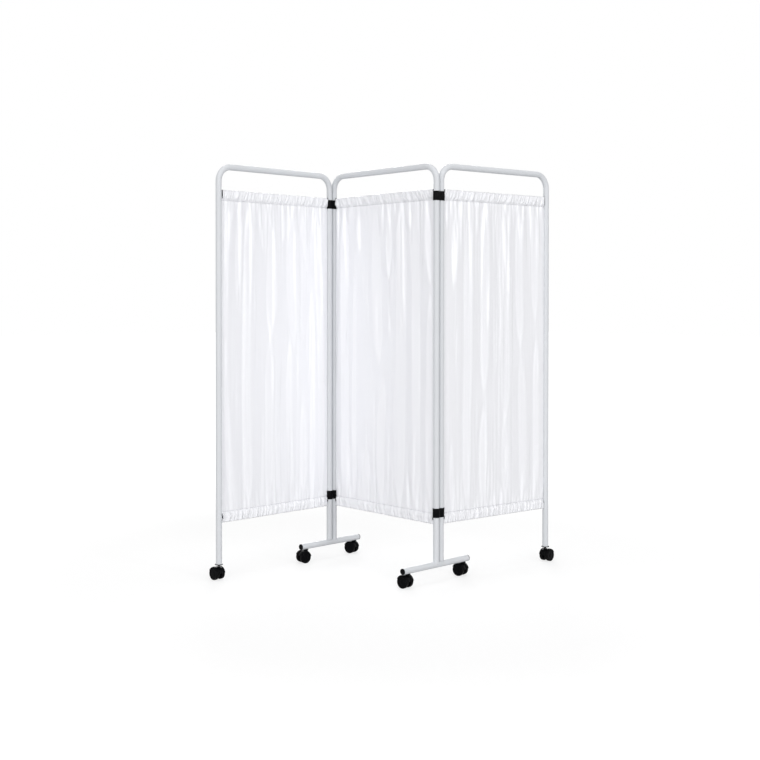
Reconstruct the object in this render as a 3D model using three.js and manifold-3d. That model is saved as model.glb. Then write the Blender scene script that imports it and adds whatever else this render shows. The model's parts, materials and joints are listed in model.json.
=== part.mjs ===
// Ward privacy screen on wheels: three curtained tube frames hinged in a zigzag, on six castors.
// Millimetres, +Z up. The centre panel runs along X, and the two T-shaped feet run along Y.
// The left wing stands in front of the centre panel (-Y), the right wing behind it (+Y).
import * as THREE from 'three';
import { mergeVertices } from 'three/addons/utils/BufferGeometryUtils.js';
import Module from 'manifold-3d';

const wasm = await Module();
wasm.setup();

// Overall layout
const overallHeight = 1700;
const postSpacing = 617;
const pairSpacing = 27;
const leftWingAngle = 89;
const rightWingAngle = 95;

// Frame tube
const tubeDiameter = 25;
const tubeWall = 1.5;
const cornerRadius = 60;
const cornerSteps = 5;
const tubeSides = 16;

// Clearances
const fitGap = 0.3;
const runningGap = 0.4;
const cutOverrun = 5;

// Feet
const footFrontReach = 192;
const leftFootBackReach = 147;
const rightFootBackReach = 188;
const footCastorInset = 26;
const stemHoleDiameter = 10.6;
const pivotPinDiameter = 20.4;
const pivotPinHeight = 32;
const pivotShoulderDiameter = 24;
const pivotShoulderHeight = 1.5;

// Plugs in the feet's ends
const plugHeadDiameter = 24.6;
const plugHeadThickness = 3;
const plugSpigotLength = 15;
const plugEdge = 0.8;

// Hinge clips
const clipWall = 2.3;
const clipHeight = 38;
const clipTopBelowCurtainTop = 10;
const clipBottomAboveCurtainBottom = 30;
const clipSides = 20;

// Curtains
const headGap = 81;
const floorGap = 231;
const casingHeight = 44;
const casingThickness = 13;
const clothThickness = 3;
const casingWave = 1.6;
const foldDepth = 8;
const curtainStations = 60;
const foldCount = 11;
const fineFoldCount = 19;
const fineFoldShare = 0.35;
const foldDriftShare = 0.12;
const seamBlend = 12;
const bodyRingShares = [0.5];

// Curtain rods and their sockets
const rodDiameter = 6;
const topRodDepth = 4.6;
const bottomRodRise = 24;
const rodSides = 8;
const socketDiameter = 8.6;
const socketLength = 5;
const socketBase = 1.5;
const socketSides = 10;
const bracketDrop = 24;
const bracketWidth = 8;

// Castors
const wheelRadius = 25;
const wheelWidth = 15.5;
const wheelSides = 20;
const wheelEdge = 2.5;
const wheelFace = 2.6;
const castorTrail = 12;
const webThickness = 12.2;
const webRadius = 18;
const axleDiameter = 8;
const hoodClearance = 1;
const hoodThickness = 2.4;
const hoodSideLip = 0.5;
const hoodFrontAngle = 172;
const hoodBackAngle = 24;
const hoodSteps = 10;
const bossDiameter = 16;
const bossRise = 0.86;
const stemDiameter = 8;
const stemDepthInHood = 14;
const stemCollarDiameter = 24;
const stemCollarThickness = 1.5;
const stemTopAboveFootAxis = 4;

// Flanged inserts in the outer posts
const insertFlangeDiameter = 34;
const insertFlangeThickness = 2.5;
const insertLength = 24;
const stemReveal = 7.1;
const stemReachInInsert = 18;
const roundSides = 20;

// Headings of the castors in plan, from each carrier's own X axis, in degrees
const castorHeadings = {
  outer_left: 272, foot_left_front: 262, foot_left_back: 193,
  foot_right_front: 185, foot_right_back: 189, outer_right: 9,
};

// Sizes worked out from those above
const tubeRadius = tubeDiameter / 2;
const coverInner = aroundCircle(aroundCircle(wheelRadius, wheelSides) + hoodClearance, roundSides);
const coverOuter = coverInner + hoodThickness;
const bossHeight = wheelRadius + coverOuter + bossRise;
const stemCollarTop = bossHeight + fitGap + stemCollarThickness;
const footAxisHeight = stemCollarTop + fitGap + tubeRadius;
const insertFlangeHeight = bossHeight + stemReveal;
const tubeInnerRadius = tubeRadius - tubeWall;
const railHeight = overallHeight - tubeRadius;
const curtainTop = overallHeight - tubeDiameter - headGap;
const curtainBottom = floorGap;
const curtainDrop = curtainTop - curtainBottom;
const topRodHeight = curtainTop - topRodDepth;
const bottomRodHeight = curtainBottom + bottomRodRise;
const footTop = footAxisHeight + tubeRadius;
const wingPostFoot = footTop + pivotShoulderHeight + runningGap;
const outerPostFoot = insertFlangeHeight + insertFlangeThickness + fitGap;
const socketReach = tubeRadius + fitGap + socketLength;
const castorWidth = webThickness + 2 * (runningGap + wheelWidth);

// Finishes
const finishes = {
  frame: { color: 0xe3e6ea, roughness: 0.38, metalness: 0.15 },
  black: { color: 0x101113, roughness: 0.5, metalness: 0 },
  tyre: { color: 0x0c0d0f, roughness: 0.6, metalness: 0 },
  cloth: { color: 0xf1f2f6, roughness: 0.75, metalness: 0 },
  steel: { color: 0xb9bcc0, roughness: 0.35, metalness: 1 },
};

// A closed geometry as a solid that can be joined and cut
function solid(geometry) {
  const bare = geometry.clone();
  bare.deleteAttribute('normal');
  bare.deleteAttribute('uv');
  const merged = mergeVertices(bare);
  return new wasm.Manifold(new wasm.Mesh({
    numProp: 3,
    vertProperties: new Float32Array(merged.attributes.position.array),
    triVerts: new Uint32Array(merged.index.array),
  }));
}

// A solid back as a geometry
function geometryOf(body) {
  const mesh = body.getMesh();
  const geometry = new THREE.BufferGeometry();
  geometry.setAttribute('position', new THREE.BufferAttribute(new Float32Array(mesh.vertProperties), 3));
  geometry.setIndex(new THREE.BufferAttribute(new Uint32Array(mesh.triVerts), 1));
  geometry.computeVertexNormals();
  return geometry;
}

function named(name, body, finish) {
  const mesh = new THREE.Mesh(geometryOf(body), new THREE.MeshStandardMaterial(finishes[finish]));
  mesh.name = name;
  return mesh;
}

// The corner radius of a regular polygon whose flats touch a circle
function aroundCircle(radius, sides) {
  return radius / Math.cos(Math.PI / sides);
}

// An upright round bar between two heights
function uprightBar(radius, low, high, sides = roundSides) {
  const geometry = new THREE.CylinderGeometry(radius, radius, high - low, sides);
  geometry.rotateX(Math.PI / 2);
  geometry.translate(0, 0, (low + high) / 2);
  return solid(geometry);
}

// A round bar along X, from one place to another, at a height
function barAlongX(radius, from, to, height, sides) {
  const geometry = new THREE.CylinderGeometry(radius, radius, to - from, sides);
  geometry.rotateZ(Math.PI / 2);
  geometry.translate((from + to) / 2, 0, height);
  return solid(geometry);
}

// A round bar along Y
function barAlongY(radius, from, to, height, sides) {
  const geometry = new THREE.CylinderGeometry(radius, radius, to - from, sides);
  geometry.translate(0, (from + to) / 2, height);
  return solid(geometry);
}

function block(low, high) {
  const geometry = new THREE.BoxGeometry(high[0] - low[0], high[1] - low[1], high[2] - low[2]);
  geometry.translate((low[0] + high[0]) / 2, (low[1] + high[1]) / 2, (low[2] + high[2]) / 2);
  return solid(geometry);
}

// A path through given stations, one section at each
class StationPath extends THREE.Curve {
  constructor(points, tangents) {
    super();
    this.points = points;
    this.tangents = tangents;
  }

  getPointAt(share) {
    return this.points[Math.round(share * (this.points.length - 1))].clone();
  }

  getTangentAt(share) {
    return this.tangents[Math.round(share * (this.tangents.length - 1))].clone();
  }
}

// The centre line of an upturned U with two round corners, in the XZ plane
function framePath(innerFoot, outerFoot) {
  const points = [new THREE.Vector3(0, 0, innerFoot)];
  const tangents = [new THREE.Vector3(0, 0, 1)];
  const corner = (centreX, startAngle) => {
    for (let step = 0; step <= cornerSteps; step += 1) {
      const angle = startAngle - (Math.PI / 2) * (step / cornerSteps);
      const out = new THREE.Vector3(Math.cos(angle), 0, Math.sin(angle));
      points.push(out.clone().multiplyScalar(cornerRadius)
        .add(new THREE.Vector3(centreX, 0, railHeight - cornerRadius)));
      tangents.push(new THREE.Vector3(Math.sin(angle), 0, -Math.cos(angle)));
    }
  };
  corner(cornerRadius, Math.PI);
  corner(postSpacing - cornerRadius, Math.PI / 2);
  points.push(new THREE.Vector3(postSpacing, 0, outerFoot));
  tangents.push(new THREE.Vector3(0, 0, -1));
  return new StationPath(points, tangents);
}

// The round tube's section, with its bore
function tubeSection() {
  const section = new THREE.Shape().absarc(0, 0, tubeRadius, 0, 2 * Math.PI);
  section.holes.push(new THREE.Path().absarc(0, 0, tubeInnerRadius, 0, 2 * Math.PI, true));
  return section;
}

function frameTube(innerFoot, outerFoot) {
  const path = framePath(innerFoot, outerFoot);
  return solid(new THREE.ExtrudeGeometry(tubeSection(), {
    steps: path.points.length - 1, curveSegments: tubeSides / 2, bevelEnabled: false, extrudePath: path,
  }));
}

// The centre frame's posts are notched to sit on the feet, where they are welded
function centreFrame() {
  const notchRadius = aroundCircle(tubeRadius + fitGap, roundSides);
  const notch = barAlongY(notchRadius, -tubeDiameter, tubeDiameter, footAxisHeight, roundSides);
  return frameTube(footAxisHeight, footAxisHeight)
    .subtract(notch)
    .subtract(notch.translate([postSpacing, 0, 0]));
}

// One surface point of a curtain: side is -1 for the front face and 1 for the back
function curtainPoint(share, height, side, phase) {
  const seamLow = curtainBottom + casingHeight;
  const seamHigh = curtainTop - casingHeight;
  const intoBody = THREE.MathUtils.clamp(Math.min(height - seamLow, seamHigh - height) / seamBlend, 0, 1);
  const bodyShare = (height - curtainBottom) / curtainDrop;
  const drift = foldDriftShare * Math.sin(2 * Math.PI * bodyShare + phase);
  const turn = 2 * Math.PI * (foldCount * share + drift);
  const fine = 2 * Math.PI * fineFoldCount * share;
  const wave = (Math.sin(turn + phase) + fineFoldShare * Math.sin(fine - phase)) / (1 + fineFoldShare);
  const depth = THREE.MathUtils.lerp(casingWave, foldDepth, intoBody) * wave;
  const half = THREE.MathUtils.lerp(casingThickness, clothThickness, intoBody) / 2;
  const start = socketReach + runningGap;
  return [start + share * (postSpacing - 2 * start), depth + side * half, height];
}

// The heights at which a curtain has a ring of points
function curtainHeights() {
  const seamLow = curtainBottom + casingHeight;
  const seamHigh = curtainTop - casingHeight;
  const bodyLow = seamLow + seamBlend;
  const bodyHigh = seamHigh - seamBlend;
  const body = bodyRingShares.map((share) => bodyLow + share * (bodyHigh - bodyLow));
  return [curtainBottom, seamLow, bodyLow, ...body, bodyHigh, seamHigh, curtainTop];
}

// A gathered curtain with a casing at its top and bottom, and a tunnel in each for its rod
function curtain(phase) {
  const heights = curtainHeights();
  const rows = heights.length;
  const columns = curtainStations;
  const positions = [];
  [-1, 1].forEach((side) => heights.forEach((height) => {
    for (let column = 0; column < columns; column += 1) {
      positions.push(...curtainPoint(column / (columns - 1), height, side, phase));
    }
  }));
  const index = [];
  const at = (side, row, column) => (side * rows + row) * columns + column;
  const quad = (a, b, c, d) => index.push(a, b, c, a, c, d);
  for (let row = 0; row < rows - 1; row += 1) {
    for (let column = 0; column < columns - 1; column += 1) {
      quad(at(0, row, column), at(0, row, column + 1), at(0, row + 1, column + 1), at(0, row + 1, column));
      quad(at(1, row, column), at(1, row + 1, column), at(1, row + 1, column + 1), at(1, row, column + 1));
    }
    const last = columns - 1;
    quad(at(0, row, 0), at(0, row + 1, 0), at(1, row + 1, 0), at(1, row, 0));
    quad(at(0, row, last), at(1, row, last), at(1, row + 1, last), at(0, row + 1, last));
  }
  const top = rows - 1;
  for (let column = 0; column < columns - 1; column += 1) {
    quad(at(0, top, column), at(0, top, column + 1), at(1, top, column + 1), at(1, top, column));
    quad(at(0, 0, column), at(1, 0, column), at(1, 0, column + 1), at(0, 0, column + 1));
  }
  const geometry = new THREE.BufferGeometry();
  geometry.setAttribute('position', new THREE.BufferAttribute(new Float32Array(positions), 3));
  geometry.setIndex(index);
  const tunnelRadius = aroundCircle(rodDiameter / 2 + runningGap, rodSides);
  const tunnel = (height) => barAlongX(tunnelRadius, 0, postSpacing, height, rodSides);
  return solid(geometry).subtract(tunnel(topRodHeight)).subtract(tunnel(bottomRodHeight));
}

// A curtain rod, held in the sockets at both ends
function rod(height) {
  const end = tubeRadius + fitGap + socketBase + fitGap;
  return barAlongX(rodDiameter / 2, end, postSpacing - end, height, rodSides);
}

// A socket on the inner post, open along +X. The outer posts' upper ones have a bracket below the cup
function innerSocket(height, hasBracket) {
  const start = tubeRadius + fitGap;
  let body = barAlongX(socketDiameter / 2, 0, socketReach, height, socketSides);
  if (hasBracket) {
    const half = bracketWidth / 2;
    body = body.add(block([0, -half, height - bracketDrop], [socketReach, half, height]));
  }
  const boreRadius = aroundCircle(rodDiameter / 2 + fitGap, socketSides);
  const bore = barAlongX(boreRadius, start + socketBase, socketReach + cutOverrun, height, socketSides);
  const post = uprightBar(aroundCircle(start, roundSides), height - overallHeight, height + overallHeight);
  return body.subtract(bore).subtract(post);
}

function outerSocket(height, hasBracket) {
  return innerSocket(height, hasBracket).mirror([1, 0, 0]).translate([postSpacing, 0, 0]);
}

// A clip that holds the two posts of a hinge side by side; the second one lies towards +Y
function hingeClip(low) {
  const boreRadius = aroundCircle(tubeRadius + fitGap, clipSides);
  const collar = uprightBar(tubeRadius + clipWall, low, low + clipHeight, clipSides);
  const bore = uprightBar(boreRadius, low - cutOverrun, low + clipHeight + cutOverrun, clipSides);
  const cheek = tubeRadius / 2;
  const web = block([-cheek, 0, low], [cheek, pairSpacing, low + clipHeight]);
  return collar.add(collar.translate([0, pairSpacing, 0])).add(web)
    .subtract(bore).subtract(bore.translate([0, pairSpacing, 0]));
}

// A foot: a tube along Y with holes for two castor stems and a pin for the wing's inner post
function foot(backReach, wingSide) {
  const length = footFrontReach + backReach;
  const geometry = new THREE.ExtrudeGeometry(tubeSection(), {
    depth: length, steps: 1, curveSegments: tubeSides / 2, bevelEnabled: false,
  });
  geometry.rotateX(Math.PI / 2);
  geometry.translate(0, backReach, footAxisHeight);
  const holeRadius = stemHoleDiameter / 2;
  const hole = uprightBar(holeRadius, footAxisHeight - tubeDiameter, footAxisHeight);
  const shoulderRadius = pivotShoulderDiameter / 2;
  const pinTop = footTop + pivotPinHeight;
  const seatDepth = footAxisHeight + tubeInnerRadius;
  const shoulder = uprightBar(shoulderRadius, footAxisHeight, footTop + pivotShoulderHeight)
    .subtract(barAlongY(tubeRadius - tubeWall / 2, -length, length, footAxisHeight, tubeSides));
  const pin = uprightBar(pivotPinDiameter / 2, seatDepth, pinTop);
  return solid(geometry)
    .subtract(hole.translate([0, footCastorInset - footFrontReach, 0]))
    .subtract(hole.translate([0, backReach - footCastorInset, 0]))
    .add(shoulder.add(pin).translate([0, wingSide * pairSpacing, 0]));
}

// A round plug in the end of a foot; facing is -1 for the front end and 1 for the back end
function footPlug(reach, facing) {
  const face = reach + fitGap;
  const head = plugHeadDiameter / 2;
  const spigot = tubeInnerRadius * Math.cos(Math.PI / tubeSides) - fitGap;
  const profile = [
    [0, face - fitGap - plugSpigotLength], [spigot, face - fitGap - plugSpigotLength], [spigot, face],
    [head, face], [head, face + plugHeadThickness - plugEdge],
    [head - plugEdge, face + plugHeadThickness], [0, face + plugHeadThickness],
  ];
  const geometry = new THREE.LatheGeometry(profile.map(([x, y]) => new THREE.Vector2(x, y)), tubeSides);
  if (facing < 0) geometry.rotateX(Math.PI);
  geometry.translate(0, 0, footAxisHeight);
  return solid(geometry);
}

// The flanged insert in an outer post's foot, with a bore for the castor's stem
function castorInsert() {
  const spigot = tubeInnerRadius * Math.cos(Math.PI / tubeSides) - fitGap;
  const flangeTop = insertFlangeHeight + insertFlangeThickness;
  const bore = uprightBar(aroundCircle(stemDiameter / 2 + fitGap, roundSides),
    insertFlangeHeight - cutOverrun, flangeTop + insertLength + cutOverrun);
  return uprightBar(insertFlangeDiameter / 2, insertFlangeHeight, flangeTop)
    .add(uprightBar(spigot, insertFlangeHeight, flangeTop + insertLength, tubeSides))
    .subtract(bore);
}

function footStem() {
  const top = footAxisHeight + stemTopAboveFootAxis;
  return uprightBar(stemDiameter / 2, bossHeight - stemDepthInHood, top, rodSides)
    .add(uprightBar(stemCollarDiameter / 2, stemCollarTop - stemCollarThickness, stemCollarTop));
}

function outerStem() {
  const top = insertFlangeHeight + insertFlangeThickness + stemReachInInsert;
  return uprightBar(stemDiameter / 2, bossHeight - stemDepthInHood, top, rodSides);
}

// An upright plate of a given half thickness, from an outline in the XZ plane
function plate(outline, half) {
  const geometry = new THREE.ExtrudeGeometry(outline, {
    depth: 2 * half, bevelEnabled: false, curveSegments: hoodSteps / 2,
  });
  geometry.rotateX(Math.PI / 2);
  geometry.translate(0, half, 0);
  return solid(geometry);
}

// A castor's hood: a web between the wheels, an arched cover over them, a boss and two stub axles
function castorHood() {
  const front = THREE.MathUtils.degToRad(hoodFrontAngle);
  const back = THREE.MathUtils.degToRad(hoodBackAngle);
  const cover = new THREE.Shape();
  cover.absarc(castorTrail, wheelRadius, coverOuter, back, front);
  cover.absarc(castorTrail, wheelRadius, coverInner, front, back, true);
  const webTop = new THREE.Shape();
  webTop.moveTo(castorTrail, wheelRadius);
  webTop.absarc(castorTrail, wheelRadius, coverInner + hoodThickness / 2, back, front);
  const disc = barAlongY(webRadius, -webThickness / 2, webThickness / 2, wheelRadius, roundSides)
    .translate([castorTrail, 0, 0]);
  const axleReach = webThickness / 2 + runningGap + wheelWidth - wheelFace - runningGap;
  const axle = barAlongY(axleDiameter / 2, -axleReach, axleReach, wheelRadius, socketSides)
    .translate([castorTrail, 0, 0]);
  const boss = uprightBar(bossDiameter / 2, bossHeight - hoodThickness - hoodThickness, bossHeight);
  const half = webThickness / 2;
  const neck = block([-half, -half, wheelRadius], [half, half, bossHeight]);
  const stemBore = uprightBar(aroundCircle(stemDiameter / 2 + fitGap, rodSides),
    bossHeight - stemDepthInHood - runningGap, bossHeight + cutOverrun, rodSides);
  return plate(cover, castorWidth / 2 + hoodSideLip)
    .add(plate(webTop, webThickness / 2)).add(disc).add(neck).add(boss).add(axle)
    .subtract(stemBore);
}

// A castor's wheel with a closed outer face; facing is the side of the hood it is on
function castorWheel(facing) {
  const corner = aroundCircle(wheelRadius, wheelSides);
  const bore = aroundCircle(axleDiameter / 2 + runningGap, wheelSides);
  const inner = webThickness / 2 + runningGap;
  const outer = inner + wheelWidth;
  const profile = [
    [0, outer - wheelFace], [bore, outer - wheelFace], [bore, inner], [corner, inner],
    [corner, outer - wheelEdge], [corner - wheelEdge, outer], [0, outer],
  ];
  const geometry = new THREE.LatheGeometry(profile.map(([x, y]) => new THREE.Vector2(x, y)), wheelSides);
  geometry.rotateY(Math.PI / wheelSides);
  if (facing < 0) geometry.rotateX(Math.PI);
  geometry.translate(castorTrail, 0, wheelRadius);
  return solid(geometry);
}

// A group placed in plan and turned about its own upright axis
function placed(x, y, degrees, meshes) {
  const group = new THREE.Group();
  group.position.set(x, y, 0);
  group.rotation.z = THREE.MathUtils.degToRad(degrees);
  group.add(...meshes);
  return group;
}

function castor(id, x, y, stem) {
  return [
    placed(x, y, 0, [named(`${id}_castor_stem`, stem, 'steel')]),
    placed(x, y, castorHeadings[id], [
      named(`${id}_castor_hood`, castorHood(), 'black'),
      named(`${id}_castor_wheel_left`, castorWheel(1), 'tyre'),
      named(`${id}_castor_wheel_right`, castorWheel(-1), 'tyre'),
    ]),
  ];
}

// The curtain, rods and sockets of one panel
function furnishings(side, phase, outerBracket) {
  return [
    named(`${side}_curtain`, curtain(phase), 'cloth'),
    named(`${side}_top_rod`, rod(topRodHeight), 'steel'),
    named(`${side}_bottom_rod`, rod(bottomRodHeight), 'steel'),
    named(`${side}_top_rod_socket_inner`, innerSocket(topRodHeight, false), 'black'),
    named(`${side}_top_rod_socket_outer`, outerSocket(topRodHeight, outerBracket), 'black'),
    named(`${side}_bottom_rod_socket_inner`, innerSocket(bottomRodHeight, false), 'black'),
    named(`${side}_bottom_rod_socket_outer`, outerSocket(bottomRodHeight, false), 'black'),
  ];
}

function wing(side, x, y, degrees, phase) {
  return placed(x, y, degrees, [
    named(`${side}_frame`, frameTube(wingPostFoot, outerPostFoot), 'frame'),
    ...furnishings(side, phase, true),
    placed(postSpacing, 0, 0, [named(`outer_${side}_castor_insert`, castorInsert(), 'black')]),
    ...castor(`outer_${side}`, postSpacing, 0, outerStem()),
  ]);
}

function footParts(side, x, backReach, wingSide) {
  return placed(x, 0, 0, [
    named(`${side}_foot`, foot(backReach, wingSide), 'frame'),
    named(`${side}_foot_plug_front`, footPlug(footFrontReach, -1), 'black'),
    named(`${side}_foot_plug_back`, footPlug(backReach, 1), 'black'),
    ...castor(`foot_${side}_front`, 0, footCastorInset - footFrontReach, footStem()),
    ...castor(`foot_${side}_back`, 0, backReach - footCastorInset, footStem()),
  ]);
}

const clipLows = {
  upper: curtainTop - clipTopBelowCurtainTop - clipHeight,
  lower: curtainBottom + clipBottomAboveCurtainBottom,
};

function clips(side, x, y) {
  return placed(x, y, 0, Object.entries(clipLows)
    .map(([level, low]) => named(`${side}_${level}_hinge_clip`, hingeClip(low), 'black')));
}

const screen = new THREE.Group();
screen.add(
  named('centre_frame', centreFrame(), 'frame'),
  ...furnishings('centre', Math.PI / 3, false),
  footParts('left', 0, leftFootBackReach, -1),
  footParts('right', postSpacing, rightFootBackReach, 1),
  clips('left', 0, -pairSpacing),
  clips('right', postSpacing, 0),
  wing('left', 0, -pairSpacing, -leftWingAngle, 0),
  wing('right', postSpacing, pairSpacing, 180 - rightWingAngle, -Math.PI / 3),
);

// The origin lies on the floor, under the middle of the whole screen
screen.updateMatrixWorld(true);
const middle = new THREE.Box3().setFromObject(screen, true).getCenter(new THREE.Vector3());
screen.position.set(-middle.x, -middle.y, 0);
screen.updateMatrixWorld(true);

export default screen;
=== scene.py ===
# Ward privacy screen on wheels: finishes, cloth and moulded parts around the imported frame.
# Metres, +Z up. Each panel has its own axes: X from its inner post to its outer post, Z up.
import json
import math

import bmesh
import bpy
import numpy as np
from mathutils import Matrix, Vector
from mathutils.geometry import tessellate_polygon

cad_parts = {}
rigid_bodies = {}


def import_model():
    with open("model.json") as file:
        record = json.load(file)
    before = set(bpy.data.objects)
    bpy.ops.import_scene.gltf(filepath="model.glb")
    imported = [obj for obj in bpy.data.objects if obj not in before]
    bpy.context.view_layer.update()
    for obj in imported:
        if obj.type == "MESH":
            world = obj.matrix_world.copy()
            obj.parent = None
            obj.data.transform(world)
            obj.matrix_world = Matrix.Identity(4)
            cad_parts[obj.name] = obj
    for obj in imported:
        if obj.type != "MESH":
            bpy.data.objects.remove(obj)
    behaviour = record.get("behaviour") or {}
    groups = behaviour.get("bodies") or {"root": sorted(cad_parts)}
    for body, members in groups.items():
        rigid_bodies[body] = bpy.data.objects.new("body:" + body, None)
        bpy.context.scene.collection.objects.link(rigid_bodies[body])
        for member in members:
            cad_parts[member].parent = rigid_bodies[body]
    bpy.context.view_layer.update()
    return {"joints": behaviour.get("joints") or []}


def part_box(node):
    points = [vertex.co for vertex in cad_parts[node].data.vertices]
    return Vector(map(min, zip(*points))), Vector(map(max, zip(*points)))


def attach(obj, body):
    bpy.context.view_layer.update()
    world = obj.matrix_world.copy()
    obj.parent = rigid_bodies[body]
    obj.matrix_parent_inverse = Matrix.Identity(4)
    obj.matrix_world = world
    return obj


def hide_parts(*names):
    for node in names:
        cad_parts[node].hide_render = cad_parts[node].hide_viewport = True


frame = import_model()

CASTORS = (
    "outer_left", "foot_left_front", "foot_left_back",
    "foot_right_front", "foot_right_back", "outer_right",
)
ROUND_STEPS = 48

# Tube frames
CORNER_RADIUS = 0.060
CORNER_STEPS = 20
TUBE_WALL = 0.0015
TUBE_SIDES = 48
SHOULDER_RADIUS = 0.012
SHOULDER_HEIGHT = 0.0015
PIN_RADIUS = 0.0102
PIN_EDGE = 0.001
# Gaps round what turns, and round what is seated
RUNNING_GAP = 0.0004
FIT_GAP = 0.0003
BEAD_RADIUS = 0.0016
BEAD_STEPS = 72
BEAD_RIPPLE = 0.12

# Clips, plugs, inserts and sockets
CLIP_BORE_GAP = 0.0003
CLIP_WAIST_ANGLE = math.radians(40)
CLIP_GROOVE = 0.0011
CLIP_EDGE = 0.0012
PLUG_SPIGOT = 0.015
PLUG_DISH = 0.0009
PLUG_EDGE = 0.0008
INSERT_FLANGE = 0.0025
INSERT_EDGE = 0.0009
SOCKET_RADIUS = 0.0043
SOCKET_DEPTH = 0.005
SOCKET_EDGE = 0.0006
SOCKET_BASE = 0.0015
BRACKET_WIDTH = 0.008
ROD_RADIUS = 0.003
ROD_EDGE = 0.0006

# Castors
WHEEL_TREAD_EDGE = 0.0045
WHEEL_WIDTH = 0.0155
WHEEL_FACE = 0.0026
WHEEL_DISH = 0.0012
WEB_THICKNESS = 0.0122
WEB_EDGE = 0.0012
WEB_HUB_RADIUS = 0.018
AXLE_RADIUS = 0.004
HUB_RADIUS = 0.0085
HUB_EDGE = 0.0006
COVER_INNER = 0.02664
COVER_OUTER = 0.02904
COVER_VALLEY = 0.0022
COVER_SHOULDER = 0.0030
COVER_LIP = 0.0005
COVER_FRONT = math.radians(172)
COVER_BACK = math.radians(24)
COVER_STEPS = 40
BOSS_RADIUS = 0.008
BOSS_DEPTH = 0.014
BOSS_EDGE = 0.0008
STEM_RADIUS = 0.004
STEM_EDGE = 0.0008
STEM_GROOVE_DEPTH = 0.0007
STEM_COLLAR = 0.0015
COLLAR_EDGE = 0.0005

# Curtains
CASING = 0.044
SIDE_GAP = 0.0007
CLIP_RELIEF = 0.0023
CLOTH = 0.0005
COLUMNS = 338
BODY_ROWS = 98
CASING_ROWS = 12
ROW_CLUSTER = 0.82
CASING_HALF = 0.0046
ROD_ROOM = 0.0006
SEAM_GROOVE = 0.0016
SEAM_GROOVE_REACH = 0.0024
THREAD_RADIUS = 0.00042
STITCH = 0.0040
STITCH_GAP = 0.0013
# Places along a stitch and its thickness there, both as shares
STITCH_SHAPE = ((0, 0.25), (0.12, 0.9), (0.5, 1), (0.88, 0.9), (1, 0.25))
SOCKET_ROOM = 0.0048
SOCKET_RELIEF = 0.0050
BRACKET_DROP = 0.024
# The panel whose casings reach over its outer sockets, and how far inwards from them the cloth swells
COVERED_SIDE = "right"
COVER_SWELL = (0.0015, 0.0060)
SEAM_EDGE = 0.006
PUCKER = 0.0034
FOLD_LIMIT = 0.0095
FOLD_SLOPE = {"left": 0.32, "centre": 0.50, "right": 0.27}
FOLD_EDGE = 0.0050
FOLD_LINE = 0.0040
FOLD_LINE_SLOPE = {"left": 0.32, "centre": 0.34, "right": 0.18}
FOLD_WANDER = 0.0014
FOLD_UNEVEN = 0.30
FOLD_SPREAD = 0.045
POINT_LENGTH = 0.15
# Small folds: how many, then ranges for half their length, their slant, their width and their slope
CREASES = (44, (0.10, 0.35), 0.006, (0.0020, 0.0034), (0.06, 0.20))
SPINDLES = (30, (0.04, 0.16), 0.008, (0.0035, 0.0070), (0.10, 0.34))
THIN_FOLDS = (60, (0.05, 0.36), 0.007, (0.0028, 0.0060), (0.4, 1.3))
THIN_FOLD_SLOPE = {"left": 0.38, "centre": 0.66, "right": 0.34}
# Gathers and pleats: how many, then ranges for their width and their slope or height
GATHERS = (32, (0.0026, 0.0040), (0.20, 0.70))
PLEATS = (54, (0.0022, 0.0038), (0.0028, 0.0064))
PLEAT_LEAN = 0.45
PLEAT_DEPTH = {"left": 0.9, "centre": 1.4, "right": 0.9}
# How far the casings' far edges wave, and the lengths and strength of that wave
SCALLOP = 0.0012
SCALLOP_WAVE = (0.0055, 2.5, 0.031)
# The way along X that each panel's broad folds face, and the way along Y to its front
FOLD_SIDE = {"left": 1, "centre": 1, "right": -1}
FRONT = {"left": 1, "centre": -1, "right": -1}
# Broad folds: start and end in percent of the way from the upper seam to the lower one; then the places
# of the middle line at the start, half-way and at the end, in percent of the way from the inner post to
# the outer one; then half the width in mm
BROAD_FOLDS = {
    "left": (
        (0, 100, 94, 97, 90, 14), (0, 33, 84, 85, 86, 13), (0, 100, 75, 78, 76, 20),
        (0, 15, 68, 65, 62, 12), (0, 45, 60, 55, 56, 26), (43, 100, 56, 57, 57, 20),
        (0, 13, 45, 44, 44, 11), (0, 49, 36, 36, 33, 23), (44, 100, 37, 38, 36, 15),
        (0, 23, 26, 23, 20, 14), (28, 100, 16, 15, 16, 12), (64, 100, 25, 24, 25, 17),
        (0, 100, 12, 7, 7, 17),
    ),
    "centre": (
        (0, 100, 10, 10, 12, 21), (0, 16, 24, 25, 26, 12), (27, 100, 21, 20, 20, 11),
        (0, 54, 42, 44, 46, 24), (58, 100, 51, 48, 49, 20), (0, 26, 56, 56, 56, 15),
        (0, 100, 69, 68, 67, 26), (0, 9, 77, 77, 77, 11), (0, 100, 83, 83, 83, 20), (0, 28, 93, 95, 97, 14),
        (29, 100, 97, 96, 97, 15), (82, 100, 35, 35, 35, 11),
    ),
    "right": (
        (0, 9, 3, 3, 4, 9), (0, 29, 12, 11, 10, 15), (77, 100, 8, 8, 8, 12), (0, 100, 24, 23, 22, 21),
        (0, 11, 32, 32, 32, 9), (0, 63, 40, 40, 39, 21), (66, 100, 39, 38, 38, 18), (0, 30, 58, 60, 64, 11),
        (0, 73, 53, 59, 60, 24), (69, 100, 59, 60, 60, 19), (0, 49, 74, 74, 76, 20),
        (50, 100, 76, 78, 78, 21), (0, 40, 90, 90, 91, 19), (45, 100, 92, 92, 91, 16),
    ),
}

# The photograph's camera
LENS = 55.57
SENSOR = 36
SHIFT = (0.0886, -0.0873)
CAMERA_PLACE = Vector((3.5348, -3.5105, 1.143))
CAMERA_FORWARD = Vector((-0.7526, 0.6585, -0.0116))

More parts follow.
